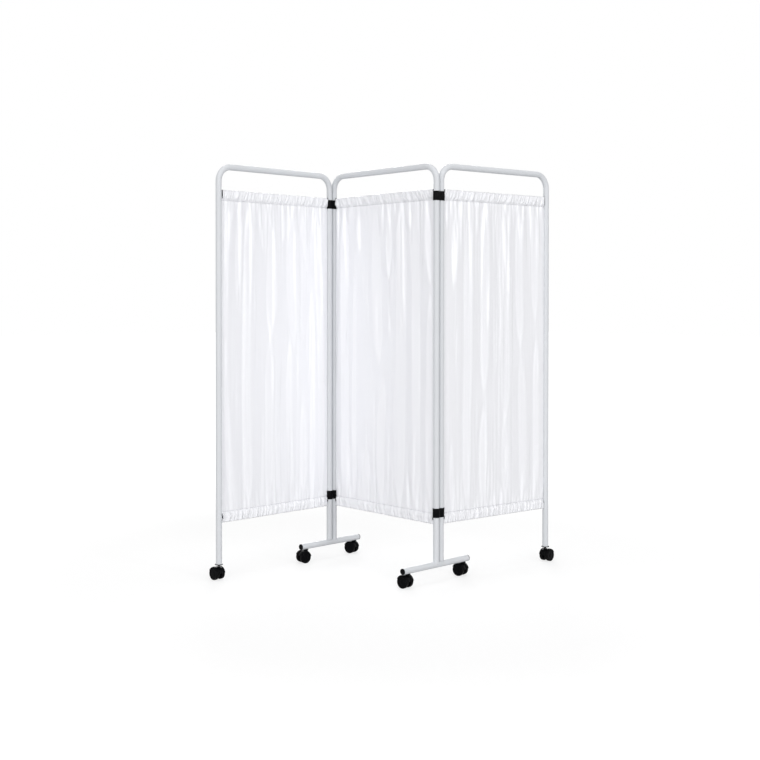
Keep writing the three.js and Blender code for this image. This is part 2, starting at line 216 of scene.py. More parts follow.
# Lights: (place, size, power). All point at AIM
AIM = Vector((0, 0, 0.85))
LIGHTS = {
    "key": ((12.0, -6.4, 4.2), (4.0, 4.0), 415),
    "side": ((5.9, -12.6, 2.4), (2.5, 4.0), 435),
    "right_strip": ((13.88, 1.0, 3.4), (2.0, 4.4), 410),
    "left_strip": ((0.4, -14.0, 2.6), (1.4, 4.4), 210),
    "back": ((-10.3, 9.0, 5.0), (5.0, 5.0), 700),
    "top": ((0.0, 0.0, 9.0), (2.5, 2.5), 120),
}
FILL = 0.47
FLOOR_SIZE = 30
FLOOR_GLOW = 1.13
FLOOR_GLOW_SHARE = 0.60
# How much light the floor gives back to the object, and to the camera
FLOOR_WHITE = (0.5, 0.9)
# Where the floor starts to turn all white, and where it is
FLOOR_WHITE_REACH = (1.2, 2.6)


def joint(name):
    return next(entry for entry in frame["joints"] if entry["name"] == name)


def joint_place(name):
    """Where a joint is at rest."""
    return Vector(joint(name)["pos_m"])


def middle(node, axis):
    low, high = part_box(node)
    return (low[axis] + high[axis]) / 2


def panel_axes(inner, outer):
    """The place and turn of a panel whose posts stand at two points of the floor."""
    along = (outer - inner).normalized()
    up = Vector((0, 0, 1))
    return Matrix.Translation(inner) @ Matrix((along, up.cross(along), up)).transposed().to_4x4()


centre_low, centre_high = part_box("centre_frame")
tube_radius = (centre_high.y - centre_low.y) / 2
tube_bore = tube_radius - TUBE_WALL
frame_top = centre_high.z
centre_y = middle("centre_frame", 1)
left_post = Vector((centre_low.x + tube_radius, centre_y, 0))
right_post = Vector((centre_high.x - tube_radius, centre_y, 0))
post_spacing = right_post.x - left_post.x
foot_axis = middle("left_foot_plug_front", 2)
foot_top = foot_axis + tube_radius
wing_post_foot = foot_top + SHOULDER_HEIGHT + RUNNING_GAP
outer_post_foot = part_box("outer_left_castor_insert")[0].z + INSERT_FLANGE + FIT_GAP
cloth_low, cloth_high = (corner.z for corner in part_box("centre_curtain"))
seam_low, seam_high = cloth_low + CASING, cloth_high - CASING
rod_low, rod_high = (middle(f"centre_{level}_rod", 2) for level in ("bottom", "top"))

PANELS = {"centre": ("screen", panel_axes(left_post, right_post))}
for side in ("left", "right"):
    hinge, castor = joint_place(f"{side}_wing_fold"), joint_place(f"outer_{side}_castor_swivel")
    PANELS[side] = (f"{side}_wing", panel_axes(hinge, castor))


# Mesh building

def skin(rings, loop=False):
    """Points and faces over equal rings of points, with caps, or with the last ring joined to the first."""
    count = len(rings[0])
    points = [Vector(p) for ring in rings for p in ring]
    faces = []
    pairs = len(rings) if loop else len(rings) - 1
    for row in range(pairs):
        here, there = row * count, (row + 1) % len(rings) * count
        for i in range(count):
            j = (i + 1) % count
            faces.append((here + i, here + j, there + j, there + i))
    if not loop:
        faces.append(tuple(reversed(range(count))))
        faces.append(tuple(range((len(rings) - 1) * count, len(rings) * count)))
    return points, faces


def polar(radius, angle):
    return Vector((radius * math.cos(angle), radius * math.sin(angle)))


def circle(radius, sides):
    turn = 2 * math.pi / sides
    return [polar(radius, i * turn) for i in range(sides)]


def lathe(profile, sides=ROUND_STEPS, loop=False):
    """A solid of revolution about Z from points (radius, height). It runs from axis to axis, or is a loop."""
    rings = [[Vector((p.x, p.y, height)) for p in circle(radius, sides)] for radius, height in profile]
    return skin(rings, loop)


def sweep(path, section):
    """A section of 2D points along a path of (point, direction) in a plane whose normal is Y."""
    rings = []
    for point, direction in path:
        side = Vector((0, 1, 0))
        out = direction.cross(side)
        rings.append([point + out * p.x + side * p.y for p in section])
    return skin(rings)


def hollow(path, outer, inner, sides):
    """A pipe along a path, open at both ends."""
    rings = []
    for radius, stations in ((outer, path), (inner, path[::-1])):
        points, _ = sweep(stations, circle(radius, sides))
        rings += [points[i:i + sides] for i in range(0, len(points), sides)]
    return skin(rings, loop=True)


def fillet(points, radius, steps=4, closed=True):
    """An outline with its corners rounded. Ends of an open outline stay."""
    points = [Vector(p) for p in points]
    out = []
    for i, point in enumerate(points):
        if not closed and i in (0, len(points) - 1):
            out.append(point)
            continue
        back = points[i - 1] - point
        ahead = points[(i + 1) % len(points)] - point
        angle = back.angle(ahead)
        reach = min(radius / math.tan(angle / 2), 0.49 * back.length, 0.49 * ahead.length)
        start, end = point + back.normalized() * reach, point + ahead.normalized() * reach
        for step in range(steps + 1):
            t = step / steps
            out.append(start * (1 - t) ** 2 + point * 2 * t * (1 - t) + end * t ** 2)
    return out


def inset(outline, amount):
    """An outline moved to its left by an amount, which is inwards where it runs anticlockwise."""
    out = []
    for i, point in enumerate(outline):
        before = (point - outline[i - 1]).normalized()
        after = (outline[(i + 1) % len(outline)] - point).normalized()
        normal = Vector((-before.y - after.y, before.x + after.x)).normalized()
        lean = max(0.3, normal.dot(Vector((-after.y, after.x))))
        out.append(point + normal * amount / lean)
    return out


def slab(outlines, low, high, edge, steps=3):
    """A plate between two heights with rounded edges. The first outline is its rim, the others are holes."""
    rounding = [math.pi / 2 * step / steps for step in range(steps + 1)]
    stations = [(edge * (1 - math.sin(a)), low + edge * (1 - math.cos(a))) for a in rounding]
    stations += [(amount, low + high - height) for amount, height in reversed(stations)]
    points, faces, caps = [], [], []
    for outline in outlines:
        rings = [[Vector((p.x, p.y, height)) for p in inset(outline, amount)] for amount, height in stations]
        start = len(points)
        new_points, new_faces = skin(rings)
        points += new_points
        faces += [tuple(start + i for i in face) for face in new_faces[:-2]]
        caps.append((start, len(points) - len(outline), len(outline)))
    bottom = [i for first, _, count in caps for i in range(first, first + count)]
    top = [i for _, last, count in caps for i in range(last, last + count)]
    flat = [[points[i] for i in range(first, first + count)] for first, _, count in caps]
    for triangle in tessellate_polygon(flat):
        faces.append(tuple(bottom[i] for i in triangle))
        faces.append(tuple(top[i] for i in triangle))
    return points, faces


def moved(form, matrix):
    points, faces = form
    return [matrix @ p for p in points], faces


def joined(*forms):
    points, faces = [], []
    for new_points, new_faces in forms:
        start = len(points)
        points += new_points
        faces += [tuple(start + i for i in face) for face in new_faces]
    return points, faces


def mesh_of(name, form, smooth_angle=35):
    """A mesh with merged points and outward faces, whose edges stay sharp above an angle in degrees."""
    mesh = bpy.data.meshes.new(name)
    mesh.from_pydata([tuple(p) for p in form[0]], [], form[1])
    body = bmesh.new()
    body.from_mesh(mesh)
    bmesh.ops.remove_doubles(body, verts=body.verts, dist=1e-6)
    bmesh.ops.recalc_face_normals(body, faces=body.faces)
    body.to_mesh(mesh)
    body.free()
    mesh.shade_smooth()
    mesh.set_sharp_from_angle(angle=math.radians(smooth_angle))
    return mesh


def new_object(name, data):
    obj = bpy.data.objects.new(name, data)
    bpy.context.scene.collection.objects.link(obj)
    return obj


def piece(name, mesh, finish, matrix, body, nodes=()):
    """A shown piece with a finish at its place, riding on a body and standing for CAD nodes."""
    material, slot = finish
    obj = new_object(name, mesh)
    if not mesh.materials:
        mesh.materials.append(material)
    obj.matrix_world = matrix
    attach(obj, body)
    if nodes:
        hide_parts(*nodes)
    return obj


# Materials

class Nodes:
    """The node tree of a new material or world, with short calls for what they share here."""

    def __init__(self, name, kind="materials"):
        self.owner = getattr(bpy.data, kind).new(name)
        self.owner.use_nodes = True
        self.tree = self.owner.node_tree
        self.place = self.add("ShaderNodeTexCoord").outputs["Object"]

    def put(self, value, socket):
        """Links another node's output to a socket, or sets the socket to a number, a vector or a colour."""
        if isinstance(value, bpy.types.NodeSocket):
            self.tree.links.new(value, socket)
        else:
            socket.default_value = (*value, 1) if isinstance(value, tuple) else value

    def add(self, kind, inputs=None, **settings):
        """A node with its settings, and with values for its inputs by name or number."""
        node = self.tree.nodes.new(kind)
        for name, value in settings.items():
            setattr(node, name, value)
        for name, value in (inputs or {}).items():
            self.put(value, node.inputs[name])
        return node

    def noise(self, scale, detail=3, stretch=(1, 1, 1)):
        """Noise in the object's own coordinates, stretched."""
        place = self.add("ShaderNodeMapping", {"Vector": self.place, "Scale": Vector(stretch)})
        inputs = {"Vector": place.outputs["Vector"], "Scale": scale, "Detail": detail}
        return self.add("ShaderNodeTexNoise", inputs).outputs["Fac"]

    def ramp(self, value, low, high, start, end, **settings):
        """A value from one range mapped to another."""
        inputs = {"Value": value, "From Min": low, "From Max": high, "To Min": start, "To Max": end}
        return self.add("ShaderNodeMapRange", inputs, **settings).outputs["Result"]

    def colours(self, value, first, second):
        return self.add("ShaderNodeMix", {0: value, 6: first, 7: second}, data_type="RGBA").outputs[2]

    def math(self, operation, first, second):
        return self.add("ShaderNodeMath", {0: first, 1: second}, operation=operation).outputs[0]

    def bump(self, height, distance, strength=1.0, under=None):
        inputs = {"Height": height, "Distance": distance, "Strength": strength}
        if under is not None:
            inputs["Normal"] = under
        return self.add("ShaderNodeBump", inputs).outputs["Normal"]

    def seen(self):
        """One for camera, glossy and transmission rays, and zero for the rays that light the object."""
        rays = self.add("ShaderNodeLightPath").outputs
        direct = self.math("MAXIMUM", rays["Is Camera Ray"], rays["Is Glossy Ray"])
        return self.math("MAXIMUM", direct, rays["Is Transmission Ray"])

    def mix(self, share, first, second, output):
        """Sends a mix of two shaders to the tree's output."""
        mixed = self.add("ShaderNodeMixShader", {0: share, 1: first.outputs[0], 2: second.outputs[0]})
        self.put(mixed.outputs[0], self.tree.nodes[output].inputs["Surface"])

    def set(self, **values):
        """Sets sockets of the material's shader, by name with _ for a space."""
        for name, value in values.items():
            self.put(value, self.tree.nodes["Principled BSDF"].inputs[name.replace("_", " ")])
        return self.owner


def frame_paint():
    """Light grey powder coat: a fine orange peel, a faint cloudiness and a few dull scuffs."""
    nodes = Nodes("frame_paint")
    cloud = nodes.noise(9)
    scuffs = nodes.ramp(nodes.noise(60, 4, (1, 1, 0.25)), 0.62, 0.72, 0, 1)
    peel = nodes.bump(nodes.noise(900, 2), 0.00004, 0.6)
    return nodes.set(
        Base_Color=nodes.colours(cloud, (0.646, 0.662, 0.688), (0.674, 0.690, 0.715)),
        Roughness=nodes.ramp(scuffs, 0, 1, 0.33, 0.48),
        Specular_IOR_Level=0.07,
        Normal=peel,
    )


def black_plastic():
    """Moulded black plastic with a fine spark grain."""
    nodes = Nodes("black_plastic")
    grain = nodes.bump(nodes.noise(1600), 0.00006, 0.7)
    return nodes.set(
        Base_Color=nodes.colours(nodes.noise(40), (0.0022, 0.0022, 0.0028), (0.0040, 0.0040, 0.0047)),
        Roughness=nodes.ramp(nodes.noise(90), 0.3, 0.7, 0.30, 0.38),
        Specular_IOR_Level=0.035,
        Normal=grain,
    )


def wheel_plastic():
    """Hard black wheel plastic, dusty and scuffed where the tread rolls."""
    nodes = Nodes("wheel_plastic")
    split = nodes.add("ShaderNodeSeparateXYZ", {0: nodes.place}).outputs
    squares = [nodes.math("POWER", split[axis], 2) for axis in ("X", "Z")]
    tread = nodes.ramp(nodes.math("ADD", *squares), 0.0235 ** 2, 0.0249 ** 2, 0, 1)
    dust = nodes.math("MULTIPLY", tread, nodes.ramp(nodes.noise(260, 4), 0.35, 0.7, 0.1, 1))
    return nodes.set(
        Base_Color=nodes.colours(dust, (0.0022, 0.0022, 0.0028), (0.0075, 0.0072, 0.0070)),
        Roughness=nodes.ramp(dust, 0, 1, 0.36, 0.70),
        Specular_IOR_Level=0.035,
        Normal=nodes.bump(nodes.noise(1200), 0.00008, 0.6),
    )


def plated_steel():
    """Bright zinc-plated steel with faint draw lines along the bar."""
    nodes = Nodes("plated_steel")
    lines = nodes.noise(1500, 3, (0.02, 1, 1))
    return nodes.set(
        Base_Color=nodes.colours(nodes.noise(30), (0.55, 0.56, 0.58), (0.66, 0.67, 0.68)),
        Metallic=1.0,
        Roughness=nodes.ramp(lines, 0.3, 0.7, 0.26, 0.38),
        Normal=nodes.bump(lines, 0.00002, 0.5),
    )


def dark_steel():
    """Dark steel, as on a castor's stem."""
    nodes = Nodes("dark_steel")
    return nodes.set(
        Base_Color=nodes.colours(nodes.noise(120), (0.020, 0.020, 0.022), (0.035, 0.034, 0.034)),
        Metallic=1.0,
        Roughness=nodes.ramp(nodes.noise(400), 0.3, 0.7, 0.32, 0.45),
        Normal=nodes.bump(nodes.noise(900, 2), 0.00002, 0.5),
    )


def curtain_cloth():
    """White satin-faced polyester: a fine weave, slubs along the warp and soft ironed-in crinkles."""
    nodes = Nodes("curtain_cloth")
    threads = []
    for direction in ("X", "Z"):
        inputs = {"Vector": nodes.place, "Scale": 320, "Distortion": 0.6}
        settings = {"wave_type": "BANDS", "bands_direction": direction, "wave_profile": "SIN"}
        threads.append(nodes.add("ShaderNodeTexWave", inputs, **settings).outputs["Fac"])
    woven = nodes.bump(nodes.math("MULTIPLY", *threads), 0.00010, 0.25)
    height = nodes.add("ShaderNodeSeparateXYZ", {0: nodes.place}).outputs["Z"]
    seams = ((seam_high, SEAM_EDGE), (seam_low, -SEAM_EDGE))
    casings = [nodes.ramp(height, seam, seam + away, 0, 1) for seam, away in seams]
    gathered = nodes.math("MULTIPLY", nodes.math("ADD", *casings), nodes.noise(300, 3, (1, 1, 0.10)))
    puckers = nodes.bump(gathered, PUCKER, 0.8, under=woven)
    crinkles = nodes.bump(nodes.noise(130, 3, (1, 1, 0.045)), 0.0012, 0.35, under=puckers)
    slubs = nodes.noise(420, 2, (1, 1, 0.02))
    return nodes.set(
        Base_Color=nodes.colours(slubs, (0.860, 0.864, 0.896), (0.884, 0.888, 0.918)),
        Roughness=nodes.ramp(slubs, 0.3, 0.7, 0.28, 0.35),
        Specular_IOR_Level=0.50,
        Sheen_Weight=0.10,
        Sheen_Roughness=0.4,
        Normal=crinkles,
    )


def thread_painted_seam_shade():
    """Sewing thread with a fine twist. Its dark blue-grey colour is painted shade of the pinched seam."""
    nodes = Nodes("thread_painted_seam_shade")
    twist = nodes.noise(2600, 2, (1, 1, 0.5))
    return nodes.set(
        Base_Color=nodes.colours(twist, (0.12, 0.13, 0.17), (0.20, 0.21, 0.26)),
        Roughness=0.6,
        Specular_IOR_Level=0.3,
        Normal=nodes.bump(twist, 0.00005, 0.6),
    )


# Finishes: a material and the slot that it stands for
PAINT = (frame_paint(), "frame_paint")
PLASTIC = (black_plastic(), "black_plastic")
WHEEL = (wheel_plastic(), "wheel_plastic")
STEEL = (plated_steel(), "steel")
DARK_STEEL = (dark_steel(), "steel")
CURTAIN = (curtain_cloth(), "curtain_cloth")
# The thread's dark colour is painted shade along the seams.
THREAD = (thread_painted_seam_shade(), "curtain_cloth")


# Frames and feet

def frame_path(inner_foot, outer_foot):
    """Points and directions along an upturned U in a panel's XZ plane."""
    up = Vector((0, 0, 1))
    path = [(Vector((0, 0, inner_foot)), up)]
    rail = frame_top - tube_radius
    for centre_x, start in ((CORNER_RADIUS, math.pi), (post_spacing - CORNER_RADIUS, math.pi / 2)):
        for step in range(CORNER_STEPS + 1):
            angle = start - math.pi / 2 * step / CORNER_STEPS
            out = Vector((math.cos(angle), 0, math.sin(angle)))
            centre = Vector((centre_x, 0, rail - CORNER_RADIUS))
            path.append((centre + out * CORNER_RADIUS, Vector((out.z, 0, -out.x))))
    path.append((Vector((post_spacing, 0, outer_foot)), -up))
    return path


def weld_bead(radius):
    """A bead round an upright post of the foot's own radius where it meets the foot, which runs along Y."""
    rings = []
    for step in range(BEAD_STEPS):
        angle = 2 * math.pi * step / BEAD_STEPS
        out = polar(1, angle).to_3d()
        height = foot_axis + math.sqrt(max(0, radius ** 2 - (radius * out.x) ** 2))
        size = BEAD_RADIUS * (1 + BEAD_RIPPLE * math.sin(9 * angle))
        centre = Vector((radius * out.x, radius * out.y, height))
        rings.append([centre + out * p.x + Vector((0, 0, p.y)) for p in circle(size, 10)])
    return skin(rings, loop=True)


def add_frames():
    centre = hollow(frame_path(foot_axis, foot_axis), tube_radius, tube_bore, TUBE_SIDES)
    beads = [moved(weld_bead(tube_radius), Matrix.Translation((x, 0, 0))) for x in (0, post_spacing)]
    wing = hollow(frame_path(wing_post_foot, outer_post_foot), tube_radius, tube_bore, TUBE_SIDES)
    shapes = {"centre": joined(centre, *beads), "left": wing, "right": wing}
    for side, (body, matrix) in PANELS.items():
        mesh = mesh_of(f"{side}_frame_tube", shapes[side])
        piece(f"{side}_frame_tube", mesh, PAINT, matrix, body, [f"{side}_frame"])


def along_y(form):
    """A form about Z turned so that its axis lies along Y."""
    return moved(form, Matrix.Rotation(-math.pi / 2, 4, "X"))


def foot_form(front, back, pivot_y):
    """A foot's tube with the shoulder and pin for the wing's inner post. Its posts stand at x = 0."""
    up = Vector((0, 0, 1))
    tube = along_y(hollow([(up * front, up), (up * back, up)], tube_radius, tube_bore, TUBE_SIDES))
    bottom = foot_axis + tube_bore
    shoulder_top = foot_top + SHOULDER_HEIGHT
    pin_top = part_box("left_foot")[1].z
    profile = [
        (0, bottom), (PIN_RADIUS, bottom), (SHOULDER_RADIUS, bottom), (SHOULDER_RADIUS, shoulder_top),
        (PIN_RADIUS, shoulder_top), (PIN_RADIUS, pin_top - PIN_EDGE), (PIN_RADIUS - PIN_EDGE, pin_top),
        (0, pin_top),
    ]
    pin = moved(lathe(profile), Matrix.Translation((0, pivot_y, 0)))
    return joined(moved(tube, Matrix.Translation((0, 0, foot_axis))), pin)


def plug_form(facing):
    """A round plug with a slightly dished face and a spigot, on the Y axis, with its seat at y = 0."""
    low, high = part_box("left_foot_plug_front")
    head = (high.z - low.z) / 2
    thickness = high.y - low.y - PLUG_SPIGOT
    spigot = tube_bore - FIT_GAP
    profile = [(0, -PLUG_SPIGOT), (spigot, -PLUG_SPIGOT), (spigot, 0), (head, 0)]
    dish = [(head * 0.78, thickness), (head * 0.7, thickness - PLUG_DISH), (0, thickness - PLUG_DISH * 1.2)]
    rim = fillet([(head, 0), (head, thickness), *dish], PLUG_EDGE, closed=False)
    form = lathe(profile + rim[1:])
    return moved(form, Matrix.Rotation(-facing * math.pi / 2, 4, "X"))


def add_feet():
    for side, post in (("left", left_post), ("right", right_post)):
        low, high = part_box(f"{side}_foot")
        pivot_y = joint_place(f"{side}_wing_fold").y - centre_y
        name = f"{side}_foot_tube"
        form = foot_form(low.y - centre_y, high.y - centre_y, pivot_y)
        piece(name, mesh_of(name, form), PAINT, Matrix.Translation(post), "screen", [f"{side}_foot"])
        for end, facing, seat in (("front", -1, low.y - FIT_GAP), ("back", 1, high.y + FIT_GAP)):
            node = f"{side}_foot_plug_{end}"
            place = Matrix.Translation((post.x, seat, foot_axis))
            piece(f"{node}_cap", mesh_of(node, plug_form(facing)), PLASTIC, place, "screen", [node])


# Hinge clips, rods and their sockets

def clip_form(low, high, radius, spacing):
    """Two collars side by side along Y with flat cheeks and a groove between them."""
    turn, steps = CLIP_WAIST_ANGLE, 28
    waist = radius * math.cos(turn)
    half = spacing / 2
    arc = math.pi + 2 * turn
    side = [polar(radius, math.pi - turn + arc * i / steps) for i in range(steps + 1)]
    groove = ((waist, half - CLIP_GROOVE), (waist - CLIP_GROOVE, half), (waist, half + CLIP_GROOVE))
    side += [Vector(p) for p in groove]
    outline = side + [Vector((-p.x, spacing - p.y)) for p in side]
    bore = circle(tube_radius + CLIP_BORE_GAP, ROUND_STEPS)[::-1]
    return slab([outline, bore, [p + Vector((0, spacing)) for p in bore]], low, high, CLIP_EDGE)


def add_clips():
    for side, post in (("left", left_post), ("right", right_post)):
        for level in ("upper", "lower"):
            node = f"{side}_{level}_hinge_clip"
            low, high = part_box(node)
            radius = (high.x - low.x) / 2
            form = clip_form(low.z, high.z, radius, high.y - low.y - 2 * radius)
            place = Matrix.Translation((post.x, low.y + radius, 0))
            piece(f"{node}_body", mesh_of(node, form), PLASTIC, place, "screen", [node])


def along_x(form, height):
    """A form about Z turned so that its axis runs along X at a height."""
    return moved(form, Matrix.Translation((0, 0, height)) @ Matrix.Rotation(math.pi / 2, 4, "Y"))


def socket_form(height, low, high):
    """A cup on the inner post that faces along X, with a plate where the frame's one reaches past the cup."""
    start = tube_radius + FIT_GAP / 2
    base = start + SOCKET_BASE
    reach = tube_radius + FIT_GAP + SOCKET_DEPTH
    bore = ROD_RADIUS + FIT_GAP
    radius = SOCKET_RADIUS
    profile = [(0, start), (radius, start), (radius, reach), (bore, reach), (bore, base), (0, base)]
    cup = along_x(lathe(fillet(profile, SOCKET_EDGE, 3, closed=False), 32), height)
    if high - low < 2.5 * radius:
        return cup
    half = BRACKET_WIDTH / 2
    outline = fillet([(low, -half), (high, -half), (high, half), (low, half)], half * 0.8, 5)
    hole = [Vector((height, 0)) + p for p in circle(bore, 24)][::-1]
    plate = slab([outline, hole], start, reach - SOCKET_EDGE, SOCKET_EDGE)
    turn = Matrix(((0, 0, 1, 0), (0, 1, 0, 0), (1, 0, 0, 0), (0, 0, 0, 1)))
    return joined(cup, moved(plate, turn))


def add_rods():
    start = tube_radius + FIT_GAP + SOCKET_BASE + FIT_GAP
    end = post_spacing - start
    thin = ROD_RADIUS - ROD_EDGE
    profile = [
        (0, start), (thin, start), (ROD_RADIUS, start + ROD_EDGE),
        (ROD_RADIUS, end - ROD_EDGE), (thin, end), (0, end),
    ]
    mirrored = Matrix.Translation((post_spacing, 0, 0)) @ Matrix.Diagonal((-1, 1, 1, 1))
    for side, (body, matrix) in PANELS.items():
        for level in ("top", "bottom"):
            node = f"{side}_{level}_rod"
            height = middle(node, 2)
            mesh = mesh_of(node, along_x(lathe(profile, 32), height))
            piece(f"{node}_bar", mesh, STEEL, matrix, body, [node])
            for end_name in ("inner", "outer"):
                socket = f"{node}_socket_{end_name}"
                low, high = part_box(socket)
                form = socket_form(height, low.z, high.z)
                if end_name == "outer":
                    form = moved(form, mirrored)
                piece(f"{socket}_cup", mesh_of(socket, form), PLASTIC, matrix, body, [socket])


# Castors

def wheel_form(radius):
    """A wheel about Z from its inner face at 0, with a rounded tread, a dished face and a hub."""
    bore = AXLE_RADIUS + RUNNING_GAP
    outer, dish = WHEEL_WIDTH, WHEEL_WIDTH - WHEEL_DISH
    blind = [(0, outer - WHEEL_FACE), (bore, outer - WHEEL_FACE), (bore, 0.0)]
    tread = [(bore, 0), (radius, 0), (radius, outer), (radius * 0.8, outer)]
    face = [
        (radius * 0.8, outer), (radius * 0.76, dish), (HUB_RADIUS + 0.0014, dish),
        (HUB_RADIUS, outer - 0.0002), (HUB_RADIUS - 0.002, outer), (0, outer),
    ]
    tread = fillet(tread, WHEEL_TREAD_EDGE, 8, closed=False)
    return lathe(blind + tread[1:] + fillet(face, HUB_EDGE, 3, closed=False)[1:], 64)


def cover_section(half_width):
    """The hood's section across the wheels as (radius, y): a dome over each wheel with a valley between."""
    steps = 36
    outer = []
    for step in range(steps + 1):
        share = 2 * step / steps - 1
        side = abs(share)
        valley = COVER_VALLEY * math.exp(-(side / 0.22) ** 2)
        fall = max(0, (side - 0.55) / 0.45)
        shoulder = COVER_SHOULDER * (1 - math.sqrt(1 - fall ** 2))
        outer.append((COVER_OUTER - valley - shoulder, share * half_width))
    lip = min(COVER_INNER, COVER_OUTER - COVER_SHOULDER - COVER_LIP)
    inner = ((lip, 1), (COVER_INNER, 0.7), (COVER_INNER, -0.7), (lip, -1))
    return outer + [(radius, share * half_width * 0.97) for radius, share in inner]


def hood_form(trail, radius, top):
    """A castor's hood about its swivel axis: a web, a domed cover over the wheels, a boss and stub axles."""
    axle = Vector((trail, 0, radius))
    half = WEB_THICKNESS / 2
    section = cover_section(half + RUNNING_GAP + WHEEL_WIDTH + COVER_LIP)
    arc = [COVER_BACK + (COVER_FRONT - COVER_BACK) * i / COVER_STEPS for i in range(COVER_STEPS + 1)]
    rings = []
    for angle in arc:
        out = Vector((math.cos(angle), 0, math.sin(angle)))
        rings.append([axle + out * r + Vector((0, y, 0)) for r, y in section])
    web_radius = (COVER_INNER + COVER_OUTER) / 2 - COVER_VALLEY / 2
    low_arc = [math.pi + (math.pi + COVER_BACK * 0.6) * i / 24 for i in range(25)]
    outline = []
    for size, angles in ((web_radius, arc), (WEB_HUB_RADIUS, low_arc)):
        outline += [Vector((trail + size * math.cos(a), radius + size * math.sin(a))) for a in angles]
    web = moved(slab([outline], -half, half, WEB_EDGE), Matrix.Rotation(math.pi / 2, 4, "X"))
    bore, bottom = STEM_RADIUS + FIT_GAP, top - BOSS_DEPTH
    boss = [
        (bore, bottom), (BOSS_RADIUS * 0.8, bottom), (BOSS_RADIUS * 1.5, top - 0.0048),
        (BOSS_RADIUS, top - 0.0035), (BOSS_RADIUS, top), (bore, top),
    ]
    reach = half + RUNNING_GAP + WHEEL_WIDTH - WHEEL_FACE - RUNNING_GAP
    stub = along_y(lathe([(0, -reach), (AXLE_RADIUS, -reach), (AXLE_RADIUS, reach), (0, reach)], 24))
    stub = moved(stub, Matrix.Translation(axle))
    return joined(skin(rings), web, lathe(fillet(boss, BOSS_EDGE), loop=True), stub)


def stem_form(low, high):
    """A stem with a grip groove near its top and rounded ends."""
    radius, edge, thin = STEM_RADIUS, STEM_EDGE, STEM_RADIUS - STEM_GROOVE_DEPTH
    groove = high - 0.005
    return lathe([
        (0, low), (radius - edge, low), (radius, low + edge),
        (radius, groove - 0.0015), (thin, groove - 0.001), (thin, groove + 0.001), (radius, groove + 0.0015),
        (radius, high - edge), (radius - edge, high), (0, high),
    ], 32)


def insert_form(low, high, flange):
    """A flanged insert with a bore for the stem."""
    bore = STEM_RADIUS + FIT_GAP
    spigot = tube_bore - FIT_GAP
    seat = low + INSERT_FLANGE
    profile = [(bore, low), (flange, low), (flange, seat), (spigot, seat), (spigot, high), (bore, high)]
    return lathe(fillet(profile, INSERT_EDGE), 64, loop=True)


def add_castors():
    """Six castors from one hood and one wheel, with a collar under each foot and an insert in each post."""
    axle = joint_place("outer_left_castor_roll")
    trail = (axle - joint_place("outer_left_castor_swivel")).to_2d().length
    hood_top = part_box("outer_left_castor_hood")[1].z
    hood_mesh = mesh_of("castor_hood", hood_form(trail, axle.z, hood_top))
    wheel_mesh = mesh_of("castor_wheel", along_y(wheel_form(axle.z)), 40)
    for name in CASTORS:
        add_castor(f"{name}_castor", hood_mesh, wheel_mesh, f"{name}_wheels")
        add_stem(f"{name}_castor", hood_top)


def add_castor(name, hood_mesh, wheel_mesh, wheels):
    """A castor's hood and its two wheels, turned to its heading."""
    swivel, axle = joint_place(f"{name}_swivel"), joint_place(f"{name}_roll")
    turn = Matrix.Rotation(math.atan2(axle.y - swivel.y, axle.x - swivel.x), 4, "Z")
    place = Matrix.Translation((swivel.x, swivel.y, 0)) @ turn
    piece(f"{name}_cover", hood_mesh, PLASTIC, place, name, [f"{name}_hood"])
    inner = Matrix.Translation((0, WEB_THICKNESS / 2 + RUNNING_GAP, 0))
    for side, flip in (("left", 0), ("right", math.pi)):
        there = Matrix.Translation(axle) @ turn @ Matrix.Rotation(flip, 4, "X") @ inner
        node = f"{name}_wheel_{side}"
        piece(f"{node}_tyre", wheel_mesh, WHEEL, there, wheels, [node])


def add_stem(name, hood_top):
    """A castor's stem with its collar or insert, on the body that carries the castor."""
    swivel, carrier = joint_place(f"{name}_swivel"), joint(f"{name}_swivel")["parent"]
    upright = Matrix.Translation((swivel.x, swivel.y, 0))
    node = f"{name}_stem"
    low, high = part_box(node)
    piece(f"{node}_pin", mesh_of(node, stem_form(low.z, high.z)), DARK_STEEL, upright, carrier, [node])
    if name.startswith("foot"):
        collar, seat = (high.x - low.x) / 2, hood_top + FIT_GAP
        top = seat + STEM_COLLAR
        profile = [(STEM_RADIUS, seat), (collar, seat), (collar, top), (STEM_RADIUS, top)]
        mesh = mesh_of(f"{name}_collar", lathe(fillet(profile, COLLAR_EDGE), loop=True))
        piece(f"{name}_collar", mesh, PLASTIC, upright, carrier)
    else:
        node = f"{name}_insert"
        low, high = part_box(node)
        mesh = mesh_of(node, insert_form(low.z, high.z, (high.x - low.x) / 2))
        piece(f"{node}_bush", mesh, PLASTIC, upright, carrier, [node])


# Curtains

def smoothstep(low, high, value):
    t = np.clip((value - low) / (high - low), 0, 1)
    return t * t * (3 - 2 * t)


def wander(random, heights, reach, count=5):
    """A smooth random curve over the heights, within a reach."""
    knots = random.uniform(-reach, reach, count)
    share = (heights - cloth_low) / (cloth_high - cloth_low) * (count - 1)
    low = np.clip(np.floor(share).astype(int), 0, count - 2)
    t = smoothstep(0, 1, share - low)
    return knots[low] * (1 - t) + knots[low + 1] * t


def ridge(x, centre, width, skew, power=2):
    """A fold's section: a ridge that is steeper on one side, and flat-topped at a higher power."""
    t = (x - centre) / width
    t = np.where(t < 0, t * (1 + skew), t * (1 - skew))
    return np.exp(-np.abs(t) ** power)


def blank(x):
    """Where the cloth starts, how wide it is, and zeros to add its folds to."""
    return x.min(), x.max() - x.min(), np.zeros_like(x)


